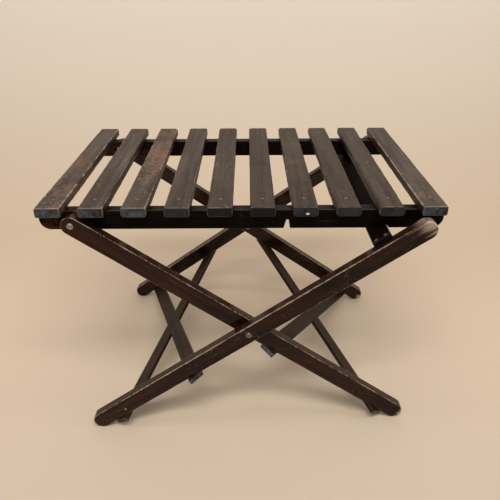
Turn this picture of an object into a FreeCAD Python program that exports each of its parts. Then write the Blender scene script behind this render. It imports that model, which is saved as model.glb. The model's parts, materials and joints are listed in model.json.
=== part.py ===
"""Folding luggage rack: a slatted top on two crossed leg frames.

Millimetres.  +X to the right, +Y away from the viewer, +Z up.  The origin is on
the floor, under the middle of the slatted top.  The rack stands open and ready
for use.  Leg frame A is the inner pair of legs.  It carries the top at its
upper left and stands at the lower right.  Leg frame B is the outer pair.  It
stands at the lower left, and its stop board holds up the right end of the top.
"""
import FreeCAD, Part
import math
import os

from FreeCAD import Vector

# ---- slatted top ----
slat_count = 10
slat_span = 650.0           # over the outer edges of the first and last slat
slat_width = 40.0
slat_thickness = 16.5
slat_length = 455.0
slat_long_round = 3.5       # worn long edges
slat_end_round = 1.4        # worn end edges

rail_height = 33.5
rail_thickness = 19.0
rail_outer_y = 199.0
rail_end_beyond = 6.0       # rail end past the outer edge of the last slat
rail_end_radius = 18.0      # lower corner of each rail end
rail_round = 1.5

# ---- crossed legs ----
leg_width = 32.0
leg_thickness = 18.5
leg_round = 2.2
leg_slope_deg = 35.3        # each leg above the floor, rack open
pivot_to_foot = 345.0       # crossing rivet to the centre of a rounded foot
hinge_inset = 55.8          # end of the rail to the hinge rivet
leg_to_slat_gap = 2.8       # rounded top end of leg A to the slats above it
leg_b_to_slat_gap = 4.0     # rounded top end of leg B to the slats above it
rail_to_leg_gap = 1.5
leg_to_leg_gap = 2.4

# ---- stop board across leg frame B ----
board_end_inset = 6.9       # end of the board inside leg B's outer face
board_width = 33.0
board_thickness = 11.5
catch_inset = 94.0          # end of the rail to the board's upper corner
catch_depth = 6.5           # how far that corner sits up inside the rail
board_round = 1.6
board_screw_spacing = 17.0

# ---- notches under the rails ----
seat_gap = 0.3              # between the board and the slanted seat
seat_wall_gap = 0.5         # between the board's edge and the end of the seat
front_notch_from_hinge = 355.0  # hinge rivet to the right edge of the notch's mouth
front_notch_depth = 16.0
front_notch_top = 3.6
front_notch_mouth = 11.5
front_notch_lean = 3.0      # how far the right side leans over the depth

# ---- diagonal braces ----
brace_width = 29.0
brace_thickness = 8.0
brace_overhang = 3.5        # middle of the sawn end past the leg's outer face
brace_round = 1.0
brace_a_upper = 62.0        # from the crossing rivet, along leg A
brace_a_foot_inset = 35.0   # from the centre of the rounded foot
brace_b_upper = 136.0       # from the crossing rivet, along leg B
brace_b_foot_inset = 39.0

# ---- rivets and washers ----
rivet_radius = 3.0
rivet_head_radius = 5.5
hinge_head_height = 1.9     # low enough for leg B's foot to pass when folded
pivot_head_height = 2.4
rivet_tail_radius = 4.6
rivet_tail_height = 1.5
washer_radius = 9.0
rove_radius = 7.5
rove_thickness = 1.2
running_gap = 0.05          # radial, rivet in a turning hole
fixed_gap = 0.02            # radial, fastener in its own piece
face_gap = 0.2              # washer or rove to the piece that turns against it

# ---- wood screws ----
screw_head_radius = 3.3
screw_head_height = 2.6
screw_radius = 1.7
screw_slot_width = 0.9
screw_slot_depth = 0.7
screw_sink = 0.3            # head below the face of the wood
slat_screw_length = 30.0
board_screw_length = 24.0
brace_screw_length = 22.0

# ---- worked out ----
slope = math.radians(leg_slope_deg)
leg_half = leg_width / 2.0
board_top = leg_half + board_thickness
slat_pitch = (slat_span - slat_width) / (slat_count - 1)
rail_half_length = slat_span / 2.0 + rail_end_beyond
rail_mid_y = rail_outer_y - rail_thickness / 2.0
leg_a_inner_y = rail_outer_y + rail_to_leg_gap
leg_a_outer_y = leg_a_inner_y + leg_thickness
leg_a_mid_y = (leg_a_inner_y + leg_a_outer_y) / 2.0
leg_b_inner_y = leg_a_outer_y + leg_to_leg_gap
leg_b_outer_y = leg_b_inner_y + leg_thickness
leg_b_mid_y = (leg_b_inner_y + leg_b_outer_y) / 2.0

# The hinge sits where leg A's round end clears the slats.  The board then sits
# so that its upper corner is caught at the same level of the top.
hinge_above_rail_foot = rail_height - leg_half - leg_to_slat_gap
hinge_to_catch = 2.0 * rail_half_length - hinge_inset - catch_inset
board_drop = hinge_above_rail_foot - catch_depth + board_top * math.cos(slope)
hinge_less_board = board_drop / math.sin(slope)
crossing_run = hinge_to_catch + board_top * math.sin(slope) + hinge_less_board * math.cos(slope)
pivot_to_hinge = crossing_run / (2.0 * math.cos(slope))
board_high = pivot_to_hinge - hinge_less_board
board_low = board_high - board_width
board_centre = (board_high + board_low) / 2.0
hinge_x = hinge_inset - rail_half_length
pivot_x = hinge_x + pivot_to_hinge * math.cos(slope)
pivot_z = leg_half + pivot_to_foot * math.sin(slope)
hinge_z = pivot_z + pivot_to_hinge * math.sin(slope)
rail_bottom_z = hinge_z - hinge_above_rail_foot
slat_bottom_z = rail_bottom_z + rail_height
slat_top_z = slat_bottom_z + slat_thickness
pivot_to_top = (slat_bottom_z - leg_b_to_slat_gap - leg_half - pivot_z) / math.sin(slope)
board_length = 2.0 * (leg_b_outer_y - board_end_inset)
board_screw_y = (leg_b_inner_y + board_length / 2.0) / 2.0
front_notch_x = hinge_x + front_notch_from_hinge
brace_a_lower = pivot_to_foot - brace_a_foot_inset
brace_b_lower = pivot_to_foot - brace_b_foot_inset
sides = {"front": -1, "back": 1}


def save(shape, node):
    """Write one node's solid, or its group of separate solids."""
    shape.exportStep("parts/" + node + ".step")


def to_frame_a(shape):
    """Turn a shape from leg coordinates into place: x runs from the crossing to foot A."""
    turned = shape.copy()
    turned.rotate(Vector(0, 0, 0), Vector(0, 1, 0), leg_slope_deg)
    turned.translate(Vector(pivot_x, 0, pivot_z))
    return turned


def to_frame_b(shape):
    """Turn a shape from leg coordinates into place: x runs from the crossing to the top of B."""
    turned = shape.copy()
    turned.rotate(Vector(0, 0, 0), Vector(0, 1, 0), -leg_slope_deg)
    turned.translate(Vector(pivot_x, 0, pivot_z))
    return turned


def slab(points, y_low, y_high):
    """Prism on a closed outline of (x, z) points, between two heights in y."""
    corners = [Vector(x, y_low, z) for x, z in points]
    face = Part.Face(Part.makePolygon(corners + corners[:1]))
    return face.extrude(Vector(0, y_high - y_low, 0))


def rod(radius, y_low, y_high, x=0.0, z=0.0):
    """Cylinder along y."""
    return Part.makeCylinder(radius, y_high - y_low, Vector(x, y_low, z), Vector(0, 1, 0))


def edges_along(shape, direction):
    """Straight edges of a shape that run along one direction."""
    found = []
    for edge in shape.Edges:
        if isinstance(edge.Curve, Part.Line):
            if abs(edge.Curve.Direction.dot(direction)) > 0.999:
                found.append(edge)
    return found


def eased_box(size, corner, round_long, round_end, long_axis):
    """Box whose long edges and then whose end edges are rounded."""
    box = Part.makeBox(size[0], size[1], size[2], Vector(*corner))
    box = box.makeFillet(round_long, edges_along(box, long_axis))
    ends = []
    for edge in box.Edges:
        along = [long_axis.dot(vertex.Point) for vertex in edge.Vertexes]
        if max(along) - min(along) < 0.001:
            ends.append(edge)
    return box.makeFillet(round_end, ends)


def screw_profile(length, gap, past_head):
    """Half outline of a countersunk wood screw with its head's top at zero, pointing down."""
    head = screw_head_radius + gap
    shank = screw_radius + gap
    tip = length + gap
    return [
        (0, past_head), (head, past_head), (head, -0.5), (shank, -screw_head_height - gap),
        (shank, -tip + 3.0 * screw_radius), (0.3 * screw_radius, -tip), (0, -tip),
    ]


def turned_shape(profile):
    """Solid of revolution about z from (radius, z) points."""
    corners = [Vector(r, 0, z) for r, z in profile]
    face = Part.Face(Part.makePolygon(corners + corners[:1]))
    return face.revolve(Vector(0, 0, 0), Vector(0, 0, 1), 360)


def screw(length):
    """Slotted countersunk screw, head's top at the origin, pointing down."""
    body = turned_shape(screw_profile(length, 0.0, 0.0))
    wide = 3.0 * screw_head_radius
    corner = Vector(-wide / 2.0, -screw_slot_width / 2.0, -screw_slot_depth)
    slot = Part.makeBox(wide, screw_slot_width, 2.0 * screw_slot_depth, corner)
    return body.cut(slot)


def screw_hole(length):
    """What a screw takes out of the wood, open past its head."""
    return turned_shape(screw_profile(length, fixed_gap, 2.0))


def slat_centres():
    first = -(slat_span - slat_width) / 2.0
    return [first + slat_pitch * i for i in range(slat_count)]


def slat_screw_points(side):
    z = slat_top_z - screw_sink
    return [Vector(x, side * rail_mid_y, z) for x in slat_centres()]


def slat(centre):
    corner = (centre - slat_width / 2.0, -slat_length / 2.0, slat_bottom_z)
    size = (slat_width, slat_length, slat_thickness)
    body = eased_box(size, corner, slat_long_round, slat_end_round, Vector(0, 1, 0))
    for side in sides.values():
        hole = screw_hole(slat_screw_length)
        hole.translate(Vector(centre, side * rail_mid_y, slat_top_z - screw_sink))
        body = body.cut(hole)
    return body


def slat_screws(side):
    screws = []
    for point in slat_screw_points(side):
        one = screw(slat_screw_length)
        one.translate(point)
        screws.append(one)
    return Part.makeCompound(screws)


def rail_outline():
    """Rail seen from the front: square above, rounded at its two lower corners."""
    half = rail_half_length
    low = rail_bottom_z
    r = rail_end_radius
    bend = r * (1.0 - math.sqrt(0.5))
    left_top = Vector(-half, 0, slat_bottom_z)
    right_top = Vector(half, 0, slat_bottom_z)
    right_low = Vector(half, 0, low + r)
    foot_right = Vector(half - r, 0, low)
    foot_left = Vector(-half + r, 0, low)
    left_low = Vector(-half, 0, low + r)
    return Part.Wire([
        Part.makeLine(left_top, right_top),
        Part.makeLine(right_top, right_low),
        Part.Arc(right_low, Vector(half - bend, 0, low + bend), foot_right).toShape(),
        Part.makeLine(foot_right, foot_left),
        Part.Arc(foot_left, Vector(-half + bend, 0, low + bend), left_low).toShape(),
        Part.makeLine(left_low, left_top),
    ])


def seat_notch():
    """Slanted seat over the stop board, with the wall that the board swings out along.

    The wall leans as the board's upper corner travels about the crossing rivet.
    """
    reach = 3.0 * rail_height
    radius = math.hypot(board_high, board_top)
    apex_s = board_high + seat_wall_gap
    apex_n = board_top + seat_gap
    wall = (apex_s + reach * board_top / radius, apex_n - reach * board_high / radius)
    outline = [(apex_s, apex_n), wall, (apex_s - reach, wall[1]), (apex_s - reach, apex_n)]
    return to_frame_b(slab(outline, -rail_outer_y - 1.0, rail_outer_y + 1.0))


def front_notch():
    """Narrow wedge-shaped notch under the front rail, widening to its mouth."""
    under = rail_bottom_z - 1.0
    top = rail_bottom_z + front_notch_depth
    right = front_notch_x - front_notch_lean
    outline = [
        (front_notch_x, under), (right, top), (right - front_notch_top, top),
        (front_notch_x - front_notch_mouth, under),
    ]
    return slab(outline, -rail_outer_y - 1.0, -rail_outer_y + rail_thickness + 1.0)


def rail(side):
    outer = side * rail_outer_y
    low = min(outer, outer - side * rail_thickness)
    body = Part.Face(rail_outline()).extrude(Vector(0, rail_thickness, 0))
    body.translate(Vector(0, low, 0))
    rims = []
    for edge in body.Edges:
        box = edge.BoundBox
        if box.YLength < 0.001 and box.ZMin < slat_bottom_z - 0.001:
            rims.append(edge)
    body = body.makeFillet(rail_round, rims)
    body = body.cut(seat_notch())
    if side < 0:
        body = body.cut(front_notch())
    hinge_hole = rod(rivet_radius + running_gap, low - 1.0, low + rail_thickness + 1.0, hinge_x, hinge_z)
    body = body.cut(hinge_hole)
    for point in slat_screw_points(side):
        hole = screw_hole(slat_screw_length)
        hole.translate(point)
        body = body.cut(hole)
    return body


def leg_blank(low, high, y_low):
    """Leg with two fully rounded ends, in leg coordinates, all outline edges eased."""
    near = Vector(low, y_low, 0)
    far = Vector(high, y_low, 0)
    up = Vector(0, 0, leg_half)
    out = Vector(leg_half, 0, 0)
    wire = Part.Wire([
        Part.makeLine(near + up, far + up),
        Part.Arc(far + up, far + out, far - up).toShape(),
        Part.makeLine(far - up, near - up),
        Part.Arc(near - up, near - out, near + up).toShape(),
    ])
    body = Part.Face(wire).extrude(Vector(0, leg_thickness, 0))
    rims = [edge for edge in body.Edges if edge.BoundBox.YLength < 0.001]
    return body.makeFillet(leg_round, rims)


def leg_a(side):
    y_low = min(side * leg_a_inner_y, side * leg_a_outer_y)
    body = leg_blank(-pivot_to_hinge, pivot_to_foot, y_low)
    through = (y_low - 1.0, y_low + leg_thickness + 1.0)
    body = body.cut(rod(rivet_radius + running_gap, through[0], through[1]))
    body = body.cut(rod(rivet_radius + fixed_gap, through[0], through[1], -pivot_to_hinge))
    for hole in brace_holes(brace_a_upper, brace_a_lower, side * leg_a_mid_y):
        body = body.cut(hole)
    return to_frame_a(body)


def leg_b(side):
    y_low = min(side * leg_b_inner_y, side * leg_b_outer_y)
    body = leg_blank(-pivot_to_foot, pivot_to_top, y_low)
    through = (y_low - 1.0, y_low + leg_thickness + 1.0)
    body = body.cut(rod(rivet_radius + fixed_gap, through[0], through[1]))
    for hole in brace_holes(-brace_b_upper, -brace_b_lower, side * leg_b_mid_y):
        body = body.cut(hole)
    for point in board_screw_points(side):
        hole = screw_hole(board_screw_length)
        hole.translate(point)
        body = body.cut(hole)
    return to_frame_b(body)


def board_screw_points(side):
    z = board_top - screw_sink
    half = board_screw_spacing / 2.0
    return [Vector(board_centre + step, side * board_screw_y, z) for step in (-half, half)]


def stop_board():
    size = (board_width, board_length, board_thickness)
    corner = (board_low, -board_length / 2.0, leg_half)
    body = eased_box(size, corner, board_round, board_round / 2.0, Vector(0, 1, 0))
    for side in sides.values():
        for point in board_screw_points(side):
            hole = screw_hole(board_screw_length)
            hole.translate(point)
            body = body.cut(hole)
    return to_frame_b(body)


def stop_board_screws():
    screws = []
    for side in sides.values():
        for point in board_screw_points(side):
            one = screw(board_screw_length)
            one.translate(point)
            screws.append(to_frame_b(one))
    return Part.makeCompound(screws)


def upward_screw(s, y, make):
    """Screw or hole that comes up through a brace into the lower edge of a leg."""
    shape = make(brace_screw_length)
    shape.rotate(Vector(0, 0, 0), Vector(1, 0, 0), 180)
    shape.translate(Vector(s, y, -leg_half - brace_thickness + screw_sink))
    return shape


def brace_holes(upper, lower, y):
    return [upward_screw(upper, y, screw_hole), upward_screw(lower, y, screw_hole)]


def brace_bar(s_front, s_back, mid_y, outer_y):
    """Flat bar across a leg frame's lower edge, from the front leg to the back leg.

    Its centre line passes over the screws, and its sawn ends are square to it.
    """
    run = Vector(s_back - s_front, 2.0 * mid_y, 0)
    angle = math.degrees(math.atan2(run.x, run.y))
    reach = (outer_y + brace_overhang) / mid_y * run.Length / 2.0
    size = (brace_width, 2.0 * reach, brace_thickness)
    corner = (-brace_width / 2.0, -reach, -leg_half - brace_thickness)
    bar = eased_box(size, corner, brace_round, brace_round / 2.0, Vector(0, 1, 0))
    bar.rotate(Vector(0, 0, 0), Vector(0, 0, 1), -angle)
    bar.translate(Vector((s_front + s_back) / 2.0, 0, 0))
    return bar


def lap_block(s_front, s_back, mid_y, n_low, n_high):
    """Half the thickness of a brace, over its whole width, at the crossing."""
    run = Vector(s_back - s_front, 2.0 * mid_y, 0)
    angle = math.degrees(math.atan2(run.x, run.y))
    crossing = math.radians(2.0 * abs(angle))
    half_run = brace_width / math.sin(crossing)
    corner = Vector(-brace_width / 2.0, -half_run, n_low)
    block = Part.makeBox(brace_width, 2.0 * half_run, n_high - n_low, corner)
    block.rotate(Vector(0, 0, 0), Vector(0, 0, 1), -angle)
    block.translate(Vector((s_front + s_back) / 2.0, 0, 0))
    return block


def brace_pair(upper, lower, mid_y, outer_y):
    """Two braces crossing in a halved joint: the first keeps its upper half there."""
    seam = -leg_half - brace_thickness / 2.0
    spill = 1.0
    first = brace_bar(upper, lower, mid_y, outer_y)
    second = brace_bar(lower, upper, mid_y, outer_y)
    under = lap_block(lower, upper, mid_y, -leg_half - brace_thickness - spill, seam)
    over = lap_block(upper, lower, mid_y, seam, -leg_half + spill)
    first = first.cut(under)
    second = second.cut(over)
    for side in sides.values():
        for hole in brace_holes(upper, lower, side * mid_y):
            first = first.cut(hole)
            second = second.cut(hole)
    return first, second


def brace_screws(upper, lower, mid_y):
    screws = []
    for side in sides.values():
        for s in (upper, lower):
            screws.append(upward_screw(s, side * mid_y, screw))
    return Part.makeCompound(screws)


def dome(radius, height):
    """Outline of a low dome on z = 0 as an arc from its rim to its crown."""
    ball = (radius * radius + height * height) / (2.0 * height)
    half_turn = math.asin(radius / ball) / 2.0
    middle = Vector(ball * math.sin(half_turn), 0, height - ball + ball * math.cos(half_turn))
    return Part.Arc(Vector(radius, 0, 0), middle, Vector(0, 0, height)).toShape()


def rivet(outer_y, inner_y, head_height):
    """Rivet lying along y on the front side: domed head outside, peened tail inside."""
    grip = outer_y - inner_y
    tail = dome(rivet_tail_radius, rivet_tail_height)
    tail.rotate(Vector(0, 0, 0), Vector(1, 0, 0), 180)
    tail.translate(Vector(0, 0, -grip))
    corners = [
        Vector(0, 0, -grip - rivet_tail_height), Vector(0, 0, head_height),
        Vector(rivet_head_radius, 0, 0), Vector(rivet_radius, 0, 0),
        Vector(rivet_radius, 0, -grip), Vector(rivet_tail_radius, 0, -grip),
    ]
    wire = Part.Wire([
        Part.makeLine(corners[0], corners[1]),
        dome(rivet_head_radius, head_height),
        Part.makeLine(corners[2], corners[3]),
        Part.makeLine(corners[3], corners[4]),
        Part.makeLine(corners[4], corners[5]),
        tail,
    ])
    body = Part.Face(wire).revolve(Vector(0, 0, 0), Vector(0, 0, 1), 360)
    body.rotate(Vector(0, 0, 0), Vector(1, 0, 0), 90)
    body.translate(Vector(0, -outer_y, 0))
    return body


def on_side(shape, side):
    """Turn a front fitting end for end about z for the back of the rack."""
    placed = shape.copy()
    if side > 0:
        placed.rotate(Vector(0, 0, 0), Vector(0, 0, 1), 180)
    return placed


def ring(radius, hole_radius, y_far, thickness):
    """Flat washer on the front side whose outer face is at -y_far."""
    outer = rod(radius, -y_far, -y_far + thickness)
    return outer.cut(rod(hole_radius, -y_far - 1.0, -y_far + thickness + 1.0))


def place_at(shape, x, z):
    moved = shape.copy()
    moved.translate(Vector(x, 0, z))
    return moved


def both_sides(shape, x, z):
    return Part.makeCompound([place_at(on_side(shape, side), x, z) for side in sides.values()])


def write_top():
    for index, centre in enumerate(slat_centres()):
        save(slat(centre), "slat_%02d" % (index + 1))
    for name, side in sides.items():
        save(rail(side), "rail_" + name)
        save(slat_screws(side), "slat_screws_" + name)


def write_legs():
    for name, side in sides.items():
        save(leg_a(side), "leg_a_" + name)
        save(leg_b(side), "leg_b_" + name)
    save(stop_board(), "stop_board")
    save(stop_board_screws(), "stop_board_screws")


def write_braces():
    pair_a = brace_pair(brace_a_upper, brace_a_lower, leg_a_mid_y, leg_a_outer_y)
    pair_b = brace_pair(-brace_b_upper, -brace_b_lower, leg_b_mid_y, leg_b_outer_y)
    for index in (0, 1):
        save(to_frame_a(pair_a[index]), "brace_a_%d" % (index + 1))
        save(to_frame_b(pair_b[index]), "brace_b_%d" % (index + 1))
    save(to_frame_a(brace_screws(brace_a_upper, brace_a_lower, leg_a_mid_y)), "brace_screws_a")
    save(to_frame_b(brace_screws(-brace_b_upper, -brace_b_lower, leg_b_mid_y)), "brace_screws_b")


def write_rivets():
    rail_inner_y = rail_outer_y - rail_thickness
    hinge_grip_y = rail_inner_y - face_gap - rove_thickness
    pivot_grip_y = leg_a_inner_y - face_gap - rove_thickness
    hinge = rivet(leg_a_outer_y, hinge_grip_y, hinge_head_height)
    pivot = rivet(leg_b_outer_y, pivot_grip_y, pivot_head_height)
    for name, side in sides.items():
        save(place_at(on_side(hinge, side), hinge_x, hinge_z), "hinge_rivet_" + name)
        save(place_at(on_side(pivot, side), pivot_x, pivot_z), "pivot_rivet_" + name)
    bore = rivet_radius + fixed_gap
    hinge_washer = ring(washer_radius, bore, leg_a_inner_y, rail_to_leg_gap - face_gap)
    pivot_washer = ring(washer_radius, bore, leg_b_inner_y, leg_to_leg_gap - face_gap)
    hinge_rove = ring(rove_radius, bore, rail_inner_y - face_gap, rove_thickness)
    pivot_rove = ring(rove_radius, bore, leg_a_inner_y - face_gap, rove_thickness)
    save(both_sides(hinge_washer, hinge_x, hinge_z), "hinge_washers")
    save(both_sides(hinge_rove, hinge_x, hinge_z), "hinge_roves")
    save(both_sides(pivot_washer, pivot_x, pivot_z), "pivot_washers")
    save(both_sides(pivot_rove, pivot_x, pivot_z), "pivot_roves")


os.makedirs("parts", exist_ok=True)
write_top()
write_legs()
write_braces()
write_rivets()
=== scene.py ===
"""Looks of the folding luggage rack: worn dark varnish on wood, dull rivets and screws.

Metres, in the CAD's own frame: +X right, +Y away, +Z up, floor at zero.
"""

import json
import math

import bmesh
import bpy
import numpy as np
from mathutils import Matrix, Vector


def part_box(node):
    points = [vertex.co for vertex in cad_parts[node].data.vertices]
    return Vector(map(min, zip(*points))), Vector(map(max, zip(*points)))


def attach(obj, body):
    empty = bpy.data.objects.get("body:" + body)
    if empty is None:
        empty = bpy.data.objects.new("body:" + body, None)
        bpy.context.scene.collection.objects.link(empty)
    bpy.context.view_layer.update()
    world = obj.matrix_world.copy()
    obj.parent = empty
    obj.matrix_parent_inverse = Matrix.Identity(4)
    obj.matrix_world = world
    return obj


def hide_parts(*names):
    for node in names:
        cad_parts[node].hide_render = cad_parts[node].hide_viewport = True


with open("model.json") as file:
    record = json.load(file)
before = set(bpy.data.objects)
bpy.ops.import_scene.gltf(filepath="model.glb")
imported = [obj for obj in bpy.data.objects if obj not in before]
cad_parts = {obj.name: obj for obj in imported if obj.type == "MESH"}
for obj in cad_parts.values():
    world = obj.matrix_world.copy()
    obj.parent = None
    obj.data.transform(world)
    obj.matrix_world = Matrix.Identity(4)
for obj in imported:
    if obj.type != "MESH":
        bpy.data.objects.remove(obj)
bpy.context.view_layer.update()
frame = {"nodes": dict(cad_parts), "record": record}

MM = 0.001

# ---- camera ----
LENS_MM = 39.1
SENSOR_MM = 36.0
CAMERA_PLACE = (0.0104, -1.0056, 0.7933)
CAMERA_DOWN_DEG = 28.09
CAMERA_YAW_DEG = 0.22
CAMERA_ROLL_DEG = 0.23

# ---- backdrop: a paper sweep of floor, bend and wall, with the wall painted brighter and the front of the floor painted darker as painted light ----
FLOOR_COLOUR = (0.690, 0.545, 0.400)
PAINTED_BRIGHT_WALL_COLOUR = (0.860, 0.765, 0.655)
WALL_BLEND_HEIGHT = 0.7
PAINTED_FALLOFF_SPAN = (-0.95, 0.15)
PAINTED_FALLOFF_SHADE = (0.76, 1.0)
PAPER_ROUGHNESS = 0.75
ROOM_HALF = 4.0
ROOM_BACK_Y = 1.15
ROOM_HEIGHT = 3.2
ROOM_BEND = 0.55

# ---- lights: where each softbox stands, what it faces, its size and its power in watts ----
WORLD_COLOUR = (1.0, 0.985, 0.96, 1.0)
WORLD_LEVEL = 0.27
SOFTBOXES = {
    "top_light": ((0.1, 0.1, 2.4), (0.0, 0.1, 0.2), (2.4, 2.0), 9.0),
    "front_light": ((-0.2, -1.6, 2.1), (0.0, 0.0, 0.2), (1.7, 1.1), 19.0),
    "strip_light": ((0.15, -1.25, 2.25), (0.0, 0.0, 0.3), (1.4, 0.30), 23.0),
    "side_light_left": ((-2.1, -0.4, 1.35), (0.0, 0.0, 0.25), (0.35, 1.6), 8.0),
    "side_light_right": ((2.1, -0.4, 1.35), (0.0, 0.0, 0.25), (0.35, 1.6), 8.0),
}


# ---- mesh and node helpers ----

def colour(r, g, b):
    """Opaque colour for a socket."""
    return (r, g, b, 1.0)


def mesh_piece(name, points, faces, smooth=True):
    """Object at the origin from arrays of points (metres) and faces."""
    mesh = bpy.data.meshes.new(name)
    mesh.from_pydata([tuple(p) for p in points], [], [tuple(f) for f in faces])
    mesh.validate()
    mesh.polygons.foreach_set("use_smooth", [smooth] * len(mesh.polygons))
    piece = bpy.data.objects.new(name, mesh)
    bpy.context.scene.collection.objects.link(piece)
    return piece


def grid_faces(rows, columns):
    """Quads of a grid of points numbered row by row."""
    r, c = np.meshgrid(np.arange(rows - 1), np.arange(columns - 1), indexing="ij")
    first = (r * columns + c).ravel()
    return np.stack([first, first + 1, first + columns + 1, first + columns], axis=1)


def closed_tube(name, rings):
    """Closed surface from rings of points: rings joined in order, each end shrunk to its middle."""
    shares = np.array([0.72, 0.42, 0.14])[:, None, None]
    first = rings[0].mean(axis=0) + (rings[0] - rings[0].mean(axis=0))[None] * shares
    last = rings[-1].mean(axis=0) + (rings[-1] - rings[-1].mean(axis=0))[None] * shares
    rings = np.concatenate([first[::-1], rings, last], axis=0)
    rows, columns = rings.shape[:2]
    r, c = np.meshgrid(np.arange(rows - 1), np.arange(columns), indexing="ij")
    beside = (c + 1) % columns
    quads = np.stack([r * columns + c, r * columns + beside, (r + 1) * columns + beside,
                      (r + 1) * columns + c], axis=2).reshape(-1, 4)
    points = rings.reshape(-1, 3)
    poles = np.stack([rings[0].mean(axis=0), rings[-1].mean(axis=0)])
    low_pole, high_pole = len(points), len(points) + 1
    c = np.arange(columns)
    beside = (c + 1) % columns
    start = (rows - 1) * columns
    caps = [(low_pole, b, a) for a, b in zip(c, beside)]
    caps += [(high_pole, start + a, start + b) for a, b in zip(c, beside)]
    piece = mesh_piece(name, np.concatenate([points, poles]), list(map(tuple, quads)) + caps)
    outward = bmesh.new()
    outward.from_mesh(piece.data)
    bmesh.ops.recalc_face_normals(outward, faces=outward.faces)
    outward.to_mesh(piece.data)
    outward.free()
    return piece


class Tree:
    """Short way to add and join nodes in one material or group."""

    def __init__(self, tree):
        self.tree = tree

    def add(self, kind, inputs=None, **settings):
        node = self.tree.nodes.new(kind)
        for key, value in settings.items():
            setattr(node, key, value)
        for key, value in (inputs or {}).items():
            self.feed(node.inputs[key], value)
        return node

    def feed(self, socket, value):
        if isinstance(value, bpy.types.NodeSocket):
            self.tree.links.new(value, socket)
        else:
            socket.default_value = value

    def maths(self, operation, a, b=0.0, clamp=False):
        node = self.add("ShaderNodeMath", {0: a, 1: b}, operation=operation, use_clamp=clamp)
        return node.outputs[0]

    def vector_maths(self, operation, a, b):
        return self.add("ShaderNodeVectorMath", {0: a, 1: b}, operation=operation).outputs[0]

    def size(self, vector):
        """Each part of a vector without its sign."""
        return self.add("ShaderNodeVectorMath", {0: vector}, operation="ABSOLUTE").outputs[0]

    def parts(self, vector):
        return self.add("ShaderNodeSeparateXYZ", {0: vector}).outputs

    def alike(self, value):
        """Vector whose three parts are the same value."""
        return self.add("ShaderNodeCombineXYZ", {0: value, 1: value, 2: value}).outputs[0]

    def mix(self, factor, a, b, blend="MIX"):
        node = self.add("ShaderNodeMix", data_type="RGBA", blend_type=blend)
        self.feed(node.inputs[0], factor)
        self.feed(node.inputs[6], a)
        self.feed(node.inputs[7], b)
        return node.outputs[2]

    def span(self, value, low, high, to_low=0.0, to_high=1.0):
        """Smooth step of a value from one span to another."""
        node = self.add("ShaderNodeMapRange", interpolation_type="SMOOTHSTEP")
        for key, item in enumerate((value, low, high, to_low, to_high)):
            self.feed(node.inputs[key], item)
        return node.outputs[0]

    def noise(self, vector, scale, detail=3.0, rough=0.55, warp=0.0):
        node = self.add("ShaderNodeTexNoise", {"Vector": vector, "Scale": scale})
        node.inputs["Detail"].default_value = detail
        node.inputs["Roughness"].default_value = rough
        node.inputs["Distortion"].default_value = warp
        return node.outputs["Fac"]


def new_material(name):
    """Empty material and its tree."""
    material = bpy.data.materials.new(name)
    material.use_nodes = True
    material.node_tree.nodes.clear()
    return material, Tree(material.node_tree)


def new_group(name, inputs, outputs):
    """Empty node group with named sockets: inputs maps a name to (kind, default)."""
    group = bpy.data.node_groups.new(name, "ShaderNodeTree")
    for key, (kind, default) in inputs.items():
        socket = group.interface.new_socket(key, in_out="INPUT", socket_type="NodeSocket" + kind)
        if default is not None:
            socket.default_value = default
    for key, kind in outputs.items():
        group.interface.new_socket(key, in_out="OUTPUT", socket_type="NodeSocket" + kind)
    tree = Tree(group)
    return group, tree, tree.add("NodeGroupInput"), tree.add("NodeGroupOutput")


def seeded(t, given):
    """A group's vector moved by its seed, so that no two pieces show the same marks."""
    return t.vector_maths("ADD", given.outputs["Vector"], t.alike(given.outputs["Seed"]))


# ---- grain: waves a metre along and across the fibres ----
TONE_WAVES = (4.0, 34.0)
WIDE_STREAK_WAVES = (4.0, 130.0)
THIN_STREAK_WAVES = (9.0, 420.0)
PORE_WAVES = (55.0, 1500.0)
WIDE_SHARE = 0.55
PORE_SPAN = (0.60, 0.72)


def wood_grain_group():
    """Long fibres along x of the vector: broad tone bands, fine streaks and open pores."""
    inputs = {"Vector": ("Vector", None), "Seed": ("Float", 0.0)}
    group, t, given, out = new_group("wood_grain", inputs, {
        "Tone": "Float", "Streak": "Float", "Pore": "Float"})
    moved = seeded(t, given)

    def stretched(waves):
        along, across = waves
        return t.vector_maths("MULTIPLY", moved, (along, across, across))

    t.feed(out.inputs["Tone"], t.noise(stretched(TONE_WAVES), 1.0, 4.0, 0.6, 0.6))
    wide = t.noise(stretched(WIDE_STREAK_WAVES), 1.0, 3.0, 0.6, 0.3)
    thin = t.noise(stretched(THIN_STREAK_WAVES), 1.0, 3.0, 0.65, 0.2)
    both = t.maths("ADD", t.maths("MULTIPLY", wide, WIDE_SHARE),
                   t.maths("MULTIPLY", thin, 1.0 - WIDE_SHARE))
    t.feed(out.inputs["Streak"], both)
    pores = t.noise(stretched(PORE_WAVES), 1.0, 2.0, 0.6)
    t.feed(out.inputs["Pore"], t.span(pores, *PORE_SPAN))
    return group


# ---- wear: scratches as (turn in radians, waves a metre along, waves a metre across) ----
SCRATCH_SETS = ((0.30, 22.0, 620.0), (-0.55, 17.0, 520.0), (1.25, 30.0, 700.0))
SCRATCH_BEND_WAVES = 26.0
SCRATCH_BEND = 12.0 * MM
SPECK_WAVES = 330.0
SPECK_SPAN = (0.66, 0.74)
BROAD_MOTTLE_WAVES = 14.0
FINE_MOTTLE_WAVES = 130.0


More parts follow.
